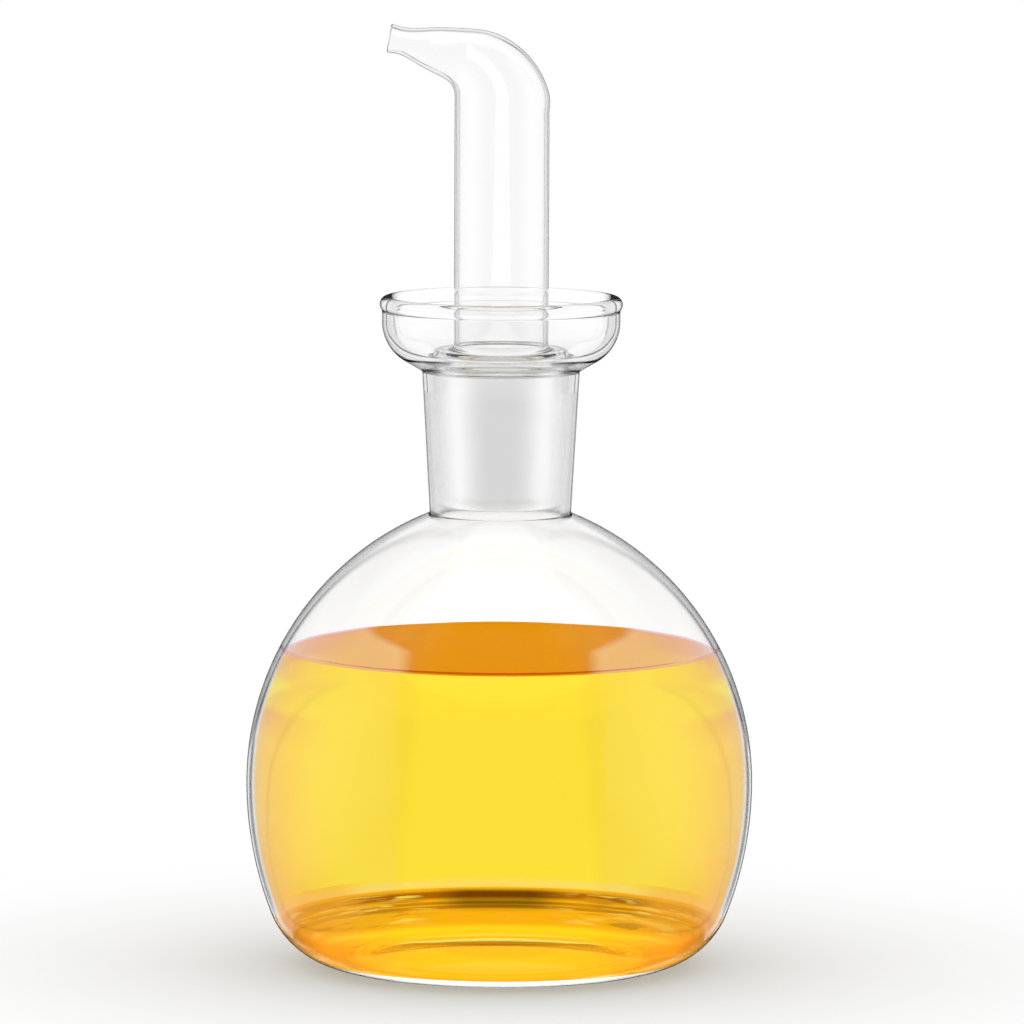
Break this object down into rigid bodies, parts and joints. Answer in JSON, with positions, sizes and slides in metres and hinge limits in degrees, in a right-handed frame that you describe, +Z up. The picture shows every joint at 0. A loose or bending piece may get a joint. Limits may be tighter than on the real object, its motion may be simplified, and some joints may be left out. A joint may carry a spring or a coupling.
{
  "type": "oil bottle",
  "caption": "Round clear glass oil bottle with a ground neck, a drip cup round it, a bent hollow pouring stopper and yellow oil inside.",
  "frame": {"origin": "centre of the foot, where the bottle stands", "axes": "+Z up along the bottle's axis, the spout pours towards -X"},
  "size_m": [0.102, 0.102, 0.1897],
  "materials": {
    "clear_glass": "clear, polished; ground inside the neck",
    "spout_glass": "clear, polished; ground on the cone",
    "oil": "clear golden yellow liquid"
  },
  "bodies": {
    "root": {"bottle": "clear_glass", "spout": "spout_glass", "oil": "oil"}
  },
  "joints": []
}
